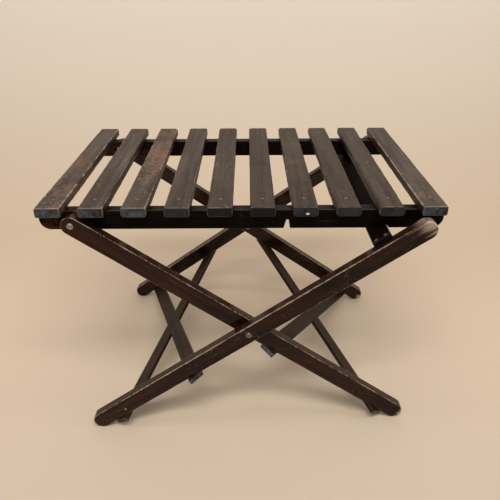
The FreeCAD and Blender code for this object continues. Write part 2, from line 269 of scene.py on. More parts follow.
def wear_group():
    """Scratch lines, specks and a two-size mottle, as values that change over the surface."""
    inputs = {"Vector": ("Vector", None), "Seed": ("Float", 0.0)}
    group, t, given, out = new_group("wear", inputs, {
        "Scratch": "Float", "Speck": "Float", "Patch": "Float"})
    moved = seeded(t, given)
    part = t.parts(moved)
    flat = t.add("ShaderNodeCombineXYZ", {0: part[0], 1: t.maths("ADD", part[1], part[2])}).outputs[0]
    waves = t.add("ShaderNodeTexNoise", {"Vector": flat, "Scale": SCRATCH_BEND_WAVES})
    bend = t.add("ShaderNodeVectorMath", {0: waves.outputs["Color"], "Scale": SCRATCH_BEND},
                 operation="SCALE").outputs[0]
    bent = t.vector_maths("ADD", flat, bend)
    lines = None
    for turn, along, across in SCRATCH_SETS:
        turned = t.add("ShaderNodeVectorRotate", {"Vector": bent, "Angle": turn},
                       rotation_type="Z_AXIS").outputs[0]
        scaled = t.vector_maths("MULTIPLY", turned, (along, across, 0.0))
        one = t.noise(scaled, 1.0, 1.0, 0.5)
        lines = one if lines is None else t.maths("MAXIMUM", lines, one)
    t.feed(out.inputs["Scratch"], lines)
    specks = t.noise(moved, SPECK_WAVES, 2.0, 0.7)
    t.feed(out.inputs["Speck"], t.span(specks, *SPECK_SPAN))
    broad = t.noise(moved, BROAD_MOTTLE_WAVES, 5.0, 0.65, 0.4)
    fine = t.noise(moved, FINE_MOTTLE_WAVES, 5.0, 0.72, 0.2)
    mottle = t.maths("ADD", t.maths("MULTIPLY", broad, 0.5), t.maths("MULTIPLY", fine, 0.5))
    t.feed(out.inputs["Patch"], mottle)
    return group


CUT_DEPTHS = (1.2 * MM, 2.2 * MM)


def board_arris_group():
    """Distance in metres from a point on a board's surface to its nearest arris.

    The three distances to the faces are sorted: the smallest is the face that the
    point lies on, the middle one reaches the arris, and the smallest alone is more
    than nothing only inside a notch or a hole.
    """
    inputs = {"Vector": ("Vector", None), "Half": ("Vector", None)}
    group, t, given, out = new_group("board_arris", inputs, {"Arris": "Float", "Cut": "Float"})
    left = t.parts(t.vector_maths("SUBTRACT", given.outputs["Half"], t.size(given.outputs["Vector"])))
    low = t.maths("MINIMUM", left[0], left[1])
    high = t.maths("MAXIMUM", left[0], left[1])
    middle = t.maths("MAXIMUM", low, t.maths("MINIMUM", high, left[2]))
    t.feed(out.inputs["Arris"], middle)
    t.feed(out.inputs["Cut"], t.span(t.maths("MINIMUM", low, left[2]), *CUT_DEPTHS))
    return group


def leg_arris_group():
    """Distance from a point on a round-ended leg's surface to its nearest arris.

    Past the straight part, the distance from the end's centre is the root of the
    squares of the run past it and the height. The rim is the radius less that, the
    side is the half thickness less the depth, and the arris is the larger of the two.
    """
    inputs = {"Vector": ("Vector", None), "Centre": ("Float", 0.0), "Straight": ("Float", 0.3),
              "Radius": ("Float", 0.016), "Half": ("Float", 0.009)}
    group, t, given, out = new_group("leg_arris", inputs, {"Arris": "Float"})
    place = t.parts(given.outputs["Vector"])
    run = t.maths("ABSOLUTE", t.maths("SUBTRACT", place[0], given.outputs["Centre"]))
    past = t.maths("MAXIMUM", t.maths("SUBTRACT", run, given.outputs["Straight"]), 0.0)
    squares = t.maths("ADD", t.maths("MULTIPLY", past, past), t.maths("MULTIPLY", place[2], place[2]))
    rim = t.maths("SUBTRACT", given.outputs["Radius"], t.maths("SQRT", squares))
    side = t.maths("SUBTRACT", given.outputs["Half"], t.maths("ABSOLUTE", place[1]))
    t.feed(out.inputs["Arris"], t.maths("MAXIMUM", rim, side))
    return group


# ---- worn wood: spans of the grain and wear noises, then how far each effect covers ----
TONE_SPAN = (0.30, 0.70)
FADE_AND_SHEEN_SPAN = (0.36, 0.64)
STREAK_SPAN = (0.36, 0.64)
STREAK_SHADE = (0.58, 1.36)
FADE_AND_SHEEN_COVER = 0.85
PORE_COVER = 0.55
PATCH_LEVEL = 0.66
PATCH_DROP = 0.20
PATCH_SOFTNESS = 0.07
PATCH_COVER = 0.72
PIT_SPAN = (0.50, 0.44)
PIT_COVER = 0.40
STRIPPED_SPAN = (0.62, 0.84)
STRIPPED_RISE = 0.30
STRIPPED_COVER = 0.80
SCRATCH_LEVEL = 0.722
SCRATCH_DROP = 0.055
SCRATCH_SOFTNESS = 0.06
SCRATCH_COVER = 0.52
SPECK_COVER = 0.30
RAG_SPAN = (0.34, 0.66)
RAG_REACH = 3.2 * MM
EDGE_REACH = 0.6 * MM
EDGE_SOFTNESS = 0.2 * MM
EDGE_COVER = 0.72
END_SPAN = (0.40, 0.62)
END_COVER = 0.92
CUT_COVER = 0.9


def near(t, run, place, reach):
    """One at a place along the piece, falling smoothly to nothing at the reach."""
    return t.span(t.maths("ABSOLUTE", t.maths("SUBTRACT", run, place)), reach, 0.0)


def cover(t, share, mask, under, over):
    """One tint laid over another where the mask is, at a share of full strength."""
    return t.mix(t.maths("MULTIPLY", mask, share), under, over)


def stained(t, g, grain):
    """Stain between dark and brown by tone, faded and lightened on top as painted sheen, then
    streaked, with dark pores.
    """
    tint = t.mix(t.span(grain["Tone"], *TONE_SPAN), g["Dark"], g["Brown"])
    # the upper faces take the faded tint: partly faded varnish, partly painted sheen where the light
    # falls on the tops
    faded_and_sheen = t.mix(t.span(grain["Tone"], *FADE_AND_SHEEN_SPAN, 0.0, FADE_AND_SHEEN_COVER), g["Faded and sheen"], g["Brown"])
    tint = cover(t, FADE_AND_SHEEN_COVER, g["Top"], tint, faded_and_sheen)
    shade = t.alike(t.span(grain["Streak"], *STREAK_SPAN, *STREAK_SHADE))
    tint = t.mix(1.0, tint, shade, "MULTIPLY")
    return cover(t, PORE_COVER, grain["Pore"], tint, g["Dark"])


def patched(t, g, tint, mottle, run):
    """Brown blotches where the mottle passes a level that drops near the patch place, with dark
    pits between them. Gives the tint and the blotches' mask."""
    strength = t.maths("MULTIPLY", near(t, run, g["Patch place"], g["Patch reach"]), g["Patched"])
    level = t.maths("SUBTRACT", PATCH_LEVEL, t.maths("MULTIPLY", strength, PATCH_DROP))
    patch = t.span(mottle, level, t.maths("ADD", level, PATCH_SOFTNESS))
    full = t.maths("MINIMUM", t.maths("MULTIPLY", g["Patched"], 3.0), 1.0)
    patch = t.maths("MULTIPLY", patch, full)
    tint = cover(t, PATCH_COVER, patch, tint, g["Rust"])
    pit = t.maths("MULTIPLY", t.span(mottle, *PIT_SPAN), strength)
    return cover(t, PIT_COVER, pit, tint, g["Dark"]), patch


def stripped(t, g, tint, streak, run):
    """Bare fibres where the streaks run high, and most of them near the bare place."""
    rise = t.maths("MULTIPLY", near(t, run, g["Bare place"], g["Bare reach"]), STRIPPED_RISE)
    mask = t.span(t.maths("ADD", streak, rise), *STRIPPED_SPAN)
    return cover(t, STRIPPED_COVER, mask, tint, g["Bare"])


def scratched(t, g, tint, marks, run):
    """Scratches to bare wood, in a nest near the nick place, and specks. Gives the tint and the
    scratches' mask."""
    drop = t.maths("MULTIPLY", near(t, run, g["Nick place"], g["Nick reach"]), SCRATCH_DROP)
    level = t.maths("SUBTRACT", SCRATCH_LEVEL, drop)
    scratch = t.span(marks["Scratch"], level, t.maths("ADD", level, SCRATCH_SOFTNESS))
    scratch = t.maths("MULTIPLY", scratch, g["Scratched"])
    tint = cover(t, SCRATCH_COVER, scratch, tint, g["Bare"])
    speck = t.maths("MULTIPLY", marks["Speck"], g["Scratched"])
    return cover(t, SPECK_COVER, speck, tint, g["Bare"]), scratch


def rubbed_edge_and_highlight(t, g, streak, mottle):
    """Mask of the rubbed arrises, on the legs also a painted highlight along the arris: a band whose
    width wanders with the mottle, thinned by the streaks, weaker on end faces."""
    rag = t.maths("MULTIPLY", t.span(mottle, *RAG_SPAN), RAG_REACH)
    reach = t.maths("MULTIPLY", g["Rubbed and highlight"], t.maths("ADD", rag, EDGE_REACH))
    edge = t.span(g["Arris"], t.maths("ADD", reach, EDGE_SOFTNESS), t.maths("MULTIPLY", reach, 0.35))
    edge = t.maths("MULTIPLY", edge, t.span(streak, 0.2, 0.6, 0.45, 1.0))
    edge = t.maths("MULTIPLY", edge, t.maths("MINIMUM", t.maths("MULTIPLY", g["Rubbed and highlight"], 1.6), 1.0))
    return t.maths("MULTIPLY", edge, t.maths("SUBTRACT", 1.0, t.maths("MULTIPLY", g["End"], 0.55)))


def roughness(t, g, mottle, edge, patch, scratch):
    """Gloss that sways with the mottle, duller where the varnish is rubbed, blotched or cut."""
    dull = t.maths("MAXIMUM", t.maths("MAXIMUM", edge, patch), scratch)
    gloss = t.maths("ADD", g["Gloss"], t.span(mottle, 0.3, 0.75, -0.05, 0.12))
    return t.maths("ADD", gloss, t.maths("MULTIPLY", dull, 0.22), clamp=True)


def relief(t, grain, mottle, scratch):
    """Height: streaks stand up, pores and scratches sink, and the mottle sways a little."""
    height = t.maths("MULTIPLY", grain["Streak"], 0.60)
    height = t.maths("SUBTRACT", height, t.maths("MULTIPLY", grain["Pore"], 0.5))
    height = t.maths("SUBTRACT", height, t.maths("MULTIPLY", scratch, 0.8))
    return t.maths("ADD", height, t.maths("MULTIPLY", mottle, 0.25))


def worn_wood_group():
    """Stained and varnished wood: colour, roughness and height from grain and wear, with painted
    sheen on the upper faces, painted reflection in the end tint and, on the legs, a painted highlight
    along the arrises.
    """
    inputs = {
        "Vector": ("Vector", None), "Arris": ("Float", 1.0), "Cut": ("Float", 0.0),
        "End": ("Float", 0.0), "Top": ("Float", 0.0), "Seed": ("Float", 0.0),
        "Dark": ("Color", colour(0.02, 0.01, 0.006)), "Brown": ("Color", colour(0.06, 0.03, 0.018)),
        "Faded and sheen": ("Color", colour(0.1, 0.08, 0.06)), "Bare": ("Color", colour(0.3, 0.2, 0.13)),
        "Rust": ("Color", colour(0.2, 0.08, 0.04)),
        "Rubbed and highlight": ("Float", 0.5), "Scratched": ("Float", 0.5), "Patched": ("Float", 0.0),
        "Patch place": ("Float", 0.0), "Patch reach": ("Float", 0.2), "Gloss": ("Float", 0.36),
        "Nick place": ("Float", 0.0), "Nick reach": ("Float", 0.01),
        "Bare place": ("Float", 0.0), "Bare reach": ("Float", 0.0001),
        "End tint and reflection": ("Color", colour(0.030, 0.032, 0.040)),
    }
    group, t, given, out = new_group("worn_wood", inputs, {
        "Color": "Color", "Roughness": "Float", "Height": "Float"})
    g = given.outputs
    noises = {"Vector": g["Vector"], "Seed": g["Seed"]}
    grain = t.add("ShaderNodeGroup", noises, node_tree=groups["grain"]).outputs
    marks = t.add("ShaderNodeGroup", noises, node_tree=groups["wear"]).outputs
    streak, mottle = grain["Streak"], marks["Patch"]
    run = t.parts(g["Vector"])[0]

    tint = stained(t, g, grain)
    tint, patch = patched(t, g, tint, mottle, run)
    tint = stripped(t, g, tint, streak, run)
    tint, scratch = scratched(t, g, tint, marks, run)
    # rubbed arrises in the Bare tint: wear, and on the legs also a painted highlight
    edge = rubbed_edge_and_highlight(t, g, streak, mottle)
    tint = cover(t, EDGE_COVER, edge, tint, g["Bare"])
    # end faces take the end tint, on slats and braces partly a painted reflection of the front light
    end_tint_and_reflection = t.mix(t.span(mottle, *END_SPAN), g["End tint and reflection"], g["Dark"])
    end_face = t.maths("MULTIPLY", g["End"], t.maths("SUBTRACT", 1.0, edge))
    tint = cover(t, END_COVER, end_face, tint, end_tint_and_reflection)
    tint = cover(t, CUT_COVER, g["Cut"], tint, g["Bare"])
    t.feed(out.inputs["Color"], tint)
    t.feed(out.inputs["Roughness"], roughness(t, g, mottle, edge, patch, scratch))
    t.feed(out.inputs["Height"], relief(t, grain, mottle, scratch))
    return group


groups = {}
groups["grain"] = wood_grain_group()
groups["wear"] = wear_group()
groups["board_arris"] = board_arris_group()
groups["leg_arris"] = leg_arris_group()
groups["worn_wood"] = worn_wood_group()

# ---- where the pieces lie, from the frame ----
joints = {joint["name"]: joint for joint in frame["record"]["behaviour"]["joints"]}
HINGE = Vector(joints["platform_lift"]["pos_m"])
PIVOT = Vector(joints["leg_fold"]["pos_m"])
ALONG_A = (PIVOT - HINGE).normalized()
ALONG_B = Vector((ALONG_A.x, 0.0, -ALONG_A.z))
UP_A = Vector((-ALONG_A.z, 0.0, ALONG_A.x))
UP_B = Vector((-ALONG_B.z, 0.0, ALONG_B.x))
LEG_AXES = {"a": (ALONG_A, UP_A), "b": (ALONG_B, UP_B)}
RIGHT = Vector((1, 0, 0))
AWAY = Vector((0, 1, 0))
UP = Vector((0, 0, 1))
LEG_RADIUS = 16.0 * MM
BRACE_TURN_DEG = {"a": 30.6, "b": 20.2}
BRACE_HALF = (14.5 * MM, 4.0 * MM)
BOARD_HALF = (16.5 * MM, 5.75 * MM)


def box_centre(node):
    """Middle of a CAD node's box."""
    low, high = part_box(node)
    return (Vector(low) + Vector(high)) / 2.0


def box_half(node):
    """Half sizes of a CAD node's box."""
    low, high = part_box(node)
    return (Vector(high) - Vector(low)) / 2.0


# ---- finishes of the wooden pieces ----
# the faded tint of each finish goes on the upper faces: partly faded varnish, partly painted sheen
SLAT_FINISH = {
    "Dark": colour(0.011, 0.0055, 0.004), "Brown": colour(0.032, 0.0175, 0.011),
    "Faded and sheen": colour(0.064, 0.046, 0.036), "Bare": colour(0.44, 0.35, 0.27),
    "Rust": colour(0.135, 0.074, 0.051), "Gloss": 0.44,
}
# the legs' pale Bare tint also paints the highlight along their upper arrises
LEG_FINISH = {
    "Dark": colour(0.0065, 0.0022, 0.0014), "Brown": colour(0.032, 0.0085, 0.0032),
    "Faded and sheen": colour(0.038, 0.018, 0.010), "Bare": colour(0.50, 0.36, 0.26),
    "Rust": colour(0.080, 0.032, 0.015), "Gloss": 0.20,
}
RAIL_FINISH = {
    "Dark": colour(0.0016, 0.0010, 0.0010), "Brown": colour(0.0060, 0.0022, 0.0018),
    "Faded and sheen": colour(0.014, 0.010, 0.008), "Bare": colour(0.34, 0.20, 0.12),
    "Rust": colour(0.075, 0.024, 0.010), "Gloss": 0.38,
}
BRACE_FINISH = {
    "Dark": colour(0.010, 0.005, 0.0032), "Brown": colour(0.028, 0.0135, 0.008),
    "Faded and sheen": colour(0.042, 0.025, 0.017), "Bare": colour(0.22, 0.14, 0.09),
    "Rust": colour(0.10, 0.050, 0.025), "Gloss": 0.42,
}
SLAT_SHINE = 0.16
LEG_SHINE = 0.05
LEG_VARNISH = 0.32
RAIL_SHINE = 0.06
BOARD_SHINE = 0.04
BRACE_SHINE = 0.10
VARNISH_ROUGHNESS = 0.10
RELIEF_STRENGTH = 0.5
RELIEF_HEIGHT = 0.6 * MM
PAINT_COLOUR = colour(0.62, 0.63, 0.66)
# the bluish, grey and light brace end tints are partly painted reflection of the front light on the
# end grain; DARK_END is the ends' own near black
BLUE_REFLECTION_END = colour(0.074, 0.081, 0.102)
GREY_REFLECTION_END = colour(0.024, 0.026, 0.033)
DARK_END = colour(0.005, 0.005, 0.008)
BRACE_SHEEN_END = colour(0.100, 0.096, 0.104)


def dress(node, material):
    """Give a CAD node one material in every slot."""
    piece = frame["nodes"][node]
    for slot in piece.material_slots:
        slot.material = material
    if not piece.material_slots:
        piece.data.materials.append(material)


def piece_vector(t, origin, along, up):
    """Object coordinates turned so that x runs along the grain and z is the piece's upper side."""
    turn = Matrix((along, up.cross(along), up))
    place = t.add("ShaderNodeTexCoord").outputs["Object"]
    mapping = t.add("ShaderNodeMapping", {"Vector": place}, vector_type="POINT")
    mapping.inputs["Rotation"].default_value = turn.to_euler("XYZ")
    mapping.inputs["Location"].default_value = -(turn @ origin)
    return mapping.outputs[0]


def finish_wood(t, wood, shine, varnish=0.0, paint=None):
    """Shader and output for a worn_wood group node, with varnish and pale paint under a mask."""
    tint = wood.outputs["Color"]
    if paint is not None:
        tint = t.mix(paint, tint, PAINT_COLOUR)
    raised = t.add("ShaderNodeBump", {"Height": wood.outputs["Height"], "Strength": RELIEF_STRENGTH,
                                      "Distance": RELIEF_HEIGHT})
    shader = t.add("ShaderNodeBsdfPrincipled", {
        "Base Color": tint, "Roughness": wood.outputs["Roughness"],
        "Normal": raised.outputs[0], "Specular IOR Level": shine,
        "Coat Weight": varnish, "Coat Roughness": VARNISH_ROUGHNESS})
    t.add("ShaderNodeOutputMaterial", {"Surface": shader.outputs[0]})


def board_wood(name, origin, along, up, half, values, shine, top_fade_and_sheen=0.0, cut=0.0, fleck=None):
    """Worn wood for a square-edged piece, its top faded and lightened with painted sheen as far as
    asked, with a pale fleck where one is asked for.
    """
    material, t = new_material(name)
    vector = piece_vector(t, origin, along, up)
    arris = t.add("ShaderNodeGroup", {"Vector": vector, "Half": half},
                  node_tree=groups["board_arris"]).outputs
    place = t.parts(vector)
    end = t.span(t.maths("ABSOLUTE", place[0]), half[0] - 1.2 * MM, half[0] - 0.5 * MM)
    top = t.span(place[2], half[2] - 3.0 * MM, half[2] - 0.6 * MM)
    inputs = dict(values)
    inputs.update({"Vector": vector, "Arris": arris["Arris"], "End": end,
                   "Cut": t.maths("MULTIPLY", arris["Cut"], cut),
                   "Top": t.maths("MULTIPLY", top, top_fade_and_sheen)})
    wood = t.add("ShaderNodeGroup", inputs, node_tree=groups["worn_wood"])
    paint = None
    if fleck is not None:
        fleck_place, fleck_size = fleck
        off = t.vector_maths("SUBTRACT", vector, fleck_place)
        off = t.vector_maths("DIVIDE", off, fleck_size)
        away = t.add("ShaderNodeVectorMath", {0: off}, operation="LENGTH").outputs["Value"]
        paint = t.span(away, 1.15, 0.85)
    finish_wood(t, wood, shine, paint=paint)
    return material


def leg_wood(name, origin, along, up, reach_back, reach_on, half_thick, values):
    """Worn and varnished wood for a round-ended leg, its top partly faded with painted sheen and its
    rubbed arrises also a painted highlight.
    """
    material, t = new_material(name)
    vector = piece_vector(t, origin, along, up)
    arris = t.add("ShaderNodeGroup", {
        "Vector": vector, "Centre": (reach_on - reach_back) / 2.0,
        "Straight": (reach_on + reach_back) / 2.0, "Radius": LEG_RADIUS, "Half": half_thick},
        node_tree=groups["leg_arris"]).outputs
    # the leg's top takes part of the faded tint: faded varnish and painted sheen
    top = t.span(t.parts(vector)[2], LEG_RADIUS - 3.0 * MM, LEG_RADIUS - 0.8 * MM)
    inputs = dict(values)
    inputs.update({"Vector": vector, "Arris": arris["Arris"],
                   "Top": t.maths("MULTIPLY", top, 0.55)})
    wood = t.add("ShaderNodeGroup", inputs, node_tree=groups["worn_wood"])
    finish_wood(t, wood, LEG_SHINE, varnish=LEG_VARNISH)
    return material


# ---- slats ----
# each slat's end tint, the bluish and grey ones partly a painted reflection of the front light
SLAT_ENDS = [BLUE_REFLECTION_END, BLUE_REFLECTION_END, BLUE_REFLECTION_END, GREY_REFLECTION_END, DARK_END, DARK_END, GREY_REFLECTION_END, GREY_REFLECTION_END,
             GREY_REFLECTION_END, BLUE_REFLECTION_END]
# for each slat: how rubbed and scratched, then how patched, the patches' place and reach along
# it in metres, and the place and reach of its nest of scratches
SLAT_WEAR = [
    (1.00, 0.80, 1.00, -0.10, 0.50, -0.19, 0.10), (0.75, 0.75, 0.40, -0.15, 0.30, 0.02, 0.20),
    (0.85, 0.85, 1.00, 0.04, 0.46, 0.00, 0.18), (0.70, 0.80, 0.55, 0.04, 0.30, 0.03, 0.12),
    (0.75, 0.85, 0.55, 0.02, 0.30, -0.03, 0.14), (0.55, 0.40, 0.10, 0.00, 0.20, -0.15, 0.05),
    (0.60, 0.60, 0.85, 0.05, 0.42, 0.10, 0.08), (0.60, 0.40, 0.05, 0.00, 0.20, -0.16, 0.05),
    (0.65, 0.75, 0.35, 0.10, 0.30, -0.05, 0.16), (0.90, 0.95, 0.60, -0.12, 0.36, -0.18, 0.09),
]
# how light each slat's faded top, with its painted sheen, is against the common finish
SLAT_TONES = [1.25, 1.12, 1.45, 0.98, 0.92, 0.86, 0.96, 0.84, 0.96, 1.18]
# corner radii of each slat's section, in millimetres: upper left, upper right, lower pair
SLAT_CORNERS = [
    (2.6, 3.2, 3.4), (3.4, 3.8, 3.6), (3.0, 4.2, 3.4), (3.4, 3.4, 3.0), (3.8, 3.6, 3.8),
    (4.2, 4.4, 4.0), (3.6, 3.8, 4.4), (4.6, 5.2, 5.4), (5.4, 5.0, 5.2), (3.2, 3.0, 3.4),
]
# pale fleck of paint on the front end of slat 7: place from the slat's middle and half sizes
FLECK_SLAT = 6
FLECK_PLACE = (-0.2275, -0.0028, -0.0030)
FLECK_SIZE = (0.0030, 0.0028, 0.0017)
RAGGED_SLAT = 0
END_ROUND = 1.5 * MM
CORNER_LIMITS = (1.2 * MM, 6.2 * MM)
SLAT_STEP = 3.0 * MM
DIMPLE_RADIUS = 3.9 * MM
DIMPLE_DEPTH = 0.9 * MM
DIMPLE_REACH = 5.2 * MM
DIMPLE_STEP = 0.55 * MM


def ripple(x, seed, waves, low, high):
    """Smooth random curve: a sum of sines whose lengths run from high to low metres."""
    random = np.random.default_rng(seed)
    total = np.zeros_like(x)
    for length in np.geomspace(high, low, waves):
        total += np.sin(2.0 * math.pi * x / length + random.uniform(0.0, 2.0 * math.pi))
    return total / math.sqrt(waves)


def spaced(low, high, step, refine=()):
    """Rising stations at an even step, with closer ones round each given place."""
    stations = np.linspace(low, high, int(round((high - low) / step)) + 1)
    close = [np.arange(place - DIMPLE_REACH, place + DIMPLE_REACH, DIMPLE_STEP) for place in refine]
    return np.unique(np.round(np.concatenate([stations] + close), 6))


def slat_stations(half_length, screw_y):
    """Stations along a slat, and how far its section draws in at each: at the ends the station
    goes as the sine of a quarter turn and the drawing in as one less its cosine."""
    body = spaced(-half_length + END_ROUND, half_length - END_ROUND, SLAT_STEP, screw_y)
    turn = np.linspace(0.0, math.pi / 2.0, 5)[1:]
    stations = np.concatenate([-half_length + END_ROUND - END_ROUND * np.sin(turn[::-1]), body,
                               half_length - END_ROUND + END_ROUND * np.sin(turn)])
    drawn_in = END_ROUND * (1.0 - np.cos(turn))
    return stations, np.concatenate([drawn_in[::-1], np.zeros(len(body)), drawn_in])


def corner_radii(y, corners, seed, ragged):
    """Radius of each corner at every station: it sways with a ripple, and grows in chips where
    a second ripple is high. A ragged slat is chipped all along the front half of its upper
    left corner."""
    left, right, under = [value * MM for value in corners]
    radii = []
    for index, radius in enumerate((right, left, under, under)):
        sway = 1.0 + 0.16 * ripple(y, seed * 7 + index, 7, 0.012, 0.30)
        worse = ragged * np.clip(0.5 - y / 0.10, 0.0, 1.0) if index == 1 else np.zeros_like(y)
        bite = np.clip(ripple(y, seed * 13 + index, 5, 0.006, 0.05) - 1.55 + 1.2 * worse, 0.0, 1.0)
        depth = (1.7 + 1.6 * worse) * MM
        radii.append(np.clip(radius * sway + depth * bite, *CORNER_LIMITS))
    return radii


def slat_sections(half, radii, top_run, under_run):
    """Section at every station, once round: a rectangle whose corners are quarter circles, with
    points at given shares of the flats between them."""
    stations = len(radii[0])
    bend = np.linspace(0.0, math.pi / 2.0, 7)
    xs, zs = [], []

    def corner_arc(index, side_x, side_z, angles):
        radius = radii[index][:, None]
        xs.append(side_x * (half.x - radius) + side_x * radius * np.cos(angles)[None, :])
        zs.append(side_z * (half.z - radius) + side_z * radius * np.sin(angles)[None, :])

    def flat_run(first, last, level, run):
        left_end = -(half.x - radii[first][:, None])
        right_end = half.x - radii[last][:, None]
        xs.append(left_end + (right_end - left_end) * (run[None, :] + 1.0) / 2.0)
        zs.append(np.full((stations, len(run)), level))

    def side_run(upper, lower, x, run):
        top_end = half.z - radii[upper][:, None]
        low_end = -(half.z - radii[lower][:, None])
        xs.append(np.full((stations, len(run)), x))
        zs.append(low_end + (top_end - low_end) * (run[None, :] + 1.0) / 2.0)

    corner_arc(0, 1.0, 1.0, bend)
    flat_run(1, 0, half.z, top_run)
    corner_arc(1, -1.0, 1.0, bend[::-1])
    side_run(1, 3, -half.x, np.array([0.5, 0.0, -0.5]))
    corner_arc(3, -1.0, -1.0, bend)
    flat_run(3, 2, -half.z, under_run)
    corner_arc(2, 1.0, -1.0, bend[::-1])
    side_run(0, 2, half.x, np.array([-0.5, 0.0, 0.5]))
    return np.concatenate(xs, axis=1), np.concatenate(zs, axis=1)


def worn_slat(name, node, corners, seed, ragged):
    """Slat as a rounded section carried along y.

    The section's corners sway and are chipped, and all faces sink by up to a few
    tenths. The ends draw in along a quarter circle and close on a flat face. Each
    screw sits in a shallow round dimple in the top.
    """
    centre = box_centre(node)
    half = box_half(node)
    screw_y = [box_centre("rail_" + side).y - centre.y for side in ("front", "back")]
    y, inset = slat_stations(half.y, screw_y)
    radii = corner_radii(y, corners, seed, ragged)
    across = spaced(-1.0, 1.0, 0.125)
    middle = np.arange(-DIMPLE_REACH, DIMPLE_REACH, DIMPLE_STEP) / (half.x - corners[1] * MM)
    top_run = np.unique(np.round(np.concatenate([across, middle]), 6))[::-1]
    x, z = slat_sections(half, radii, top_run[1:-1], across[1:-1])
    sink = (0.10 + 0.07 * ripple(y, seed * 17, 6, 0.02, 0.40)[:, None]) * MM
    shrink = inset[:, None] + np.clip(sink, 0.0, 1.0)
    x = x * (1.0 - shrink / half.x)
    z = z * (1.0 - shrink / half.z)
    for place in screw_y:
        away = np.hypot(x, (y - place)[:, None])
        dip = np.clip((DIMPLE_RADIUS + 0.5 * MM - away) / (0.6 * MM), 0.0, 1.0) * DIMPLE_DEPTH
        z = np.where(z > half.z * 0.7, z - dip, z)
    points = np.stack([x + centre.x, np.repeat(y[:, None], x.shape[1], 1) + centre.y, z + centre.z],
                      axis=2)
    return closed_tube(name, points)


def dress_slats():
    """Ten worn slats in place of the CAD's, each with its own wood."""
    for index, wear in enumerate(SLAT_WEAR):
        node = "slat_%02d" % (index + 1)
        half = box_half(node)
        rubbed, scratches, patches, place, reach, nick_place, nick_reach = wear
        values = dict(SLAT_FINISH)
        for key in ("Faded and sheen", "Rust"):
            values[key] = colour(*(channel * SLAT_TONES[index] for channel in SLAT_FINISH[key][:3]))
        values.update({"Seed": 3.7 * index + 1.3, "Rubbed and highlight": rubbed, "Scratched": scratches,
                       "Patched": patches, "Patch place": place, "Patch reach": reach,
                       "Nick place": nick_place, "Nick reach": nick_reach,
                       "End tint and reflection": SLAT_ENDS[index]})
        fleck = (FLECK_PLACE, FLECK_SIZE) if index == FLECK_SLAT else None
        material = board_wood("slat_wood_%02d" % (index + 1), box_centre(node), AWAY, UP,
                              Vector((half.y, half.x, half.z)), values, SLAT_SHINE,
                              top_fade_and_sheen=1.0, fleck=fleck)
        piece = worn_slat("slat_board_%02d" % (index + 1), node, SLAT_CORNERS[index], 11 + index,
                          1.0 if index == RAGGED_SLAT else 0.0)
        piece.data.materials.append(material)
        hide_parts(node)
        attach(piece, "platform")


# ---- rails, legs, braces and stop board ----
RAIL_WEAR = {"Rubbed and highlight": 0.25, "Scratched": 0.10, "Patched": 1.00, "Patch place": -0.33,
             "Patch reach": 0.26, "End tint and reflection": DARK_END}
# on the legs the rubbed arris band, in the pale Bare tint, also paints the highlight along the arris
LEG_WEAR = {
    "a": {"Rubbed and highlight": 0.60, "Scratched": 0.20, "Patched": 0.50, "Patch place": 0.20,
          "Patch reach": 0.30, "Bare place": 0.36, "Bare reach": 0.015},
    "b": {"Rubbed and highlight": 0.70, "Scratched": 0.40, "Patched": 0.50, "Patch place": 0.10,
          "Patch reach": 0.40, "Bare place": 0.385, "Bare reach": 0.085},
}
BRACE_WEAR = {"Rubbed and highlight": 0.30, "Scratched": 0.20, "Patched": 0.0, "End tint and reflection": BRACE_SHEEN_END}
BOARD_WEAR = {"Rubbed and highlight": 0.50, "Scratched": 0.45, "Patched": 0.0, "End tint and reflection": DARK_END}


def dress_rails():
    """Near-black rails, blotched towards their left ends and bare inside the notch."""
    for number, side in enumerate(("front", "back")):
        node = "rail_" + side
        values = {**RAIL_FINISH, **RAIL_WEAR, "Seed": 41.0 + number}
        material = board_wood("rail_wood_" + side, box_centre(node), RIGHT, UP, box_half(node),
                              values, RAIL_SHINE, top_fade_and_sheen=1.0, cut=1.0)
        dress(node, material)


def dress_legs():
    """Glossy legs: the grain runs along each leg, measured from the pivot."""
    foot_reach = (PIVOT.z - LEG_RADIUS) / -ALONG_A.z
    top_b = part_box("leg_b_front")[1][2]
    reaches = {"a": ((PIVOT - HINGE).length, foot_reach),
               "b": (foot_reach, (top_b - LEG_RADIUS - PIVOT.z) / ALONG_B.z)}
    for number, side in enumerate(("front", "back")):
        for frame_name, (along, up) in LEG_AXES.items():
            node = "leg_%s_%s" % (frame_name, side)
            origin = Vector((PIVOT.x, box_centre(node).y, PIVOT.z))
            seed = 57.0 + 5.0 * number + (2.0 if frame_name == "b" else 0.0)
            values = {**LEG_FINISH, **LEG_WEAR[frame_name], "Seed": seed}
            back, on = reaches[frame_name]
            material = leg_wood("leg_wood_%s_%s" % (frame_name, side), origin, along, up, back, on,
                                box_half(node).y, values)
            dress(node, material)


def dress_braces():
    """Thin crossed braces: each lies in its frame's plane, turned from straight across."""
    lean = {("a", 1): 1.0, ("a", 2): -1.0, ("b", 1): -1.0, ("b", 2): 1.0}
    for (frame_name, number), sign in lean.items():
        node = "brace_%s_%d" % (frame_name, number)
        leg_along, up = LEG_AXES[frame_name]
        turn = math.radians(BRACE_TURN_DEG[frame_name])
        along = leg_along * (sign * math.sin(turn)) + AWAY * math.cos(turn)
        reach = (box_half(node).y - BRACE_HALF[0] * math.sin(turn)) / math.cos(turn)
        seed = 71.0 + 3.0 * number + (1.0 if frame_name == "b" else 0.0)
        values = {**BRACE_FINISH, **BRACE_WEAR, "Seed": seed}
        material = board_wood("brace_wood_%s_%d" % (frame_name, number), box_centre(node), along, up,
                              Vector((reach, *BRACE_HALF)), values, BRACE_SHINE, top_fade_and_sheen=0.5)
        dress(node, material)


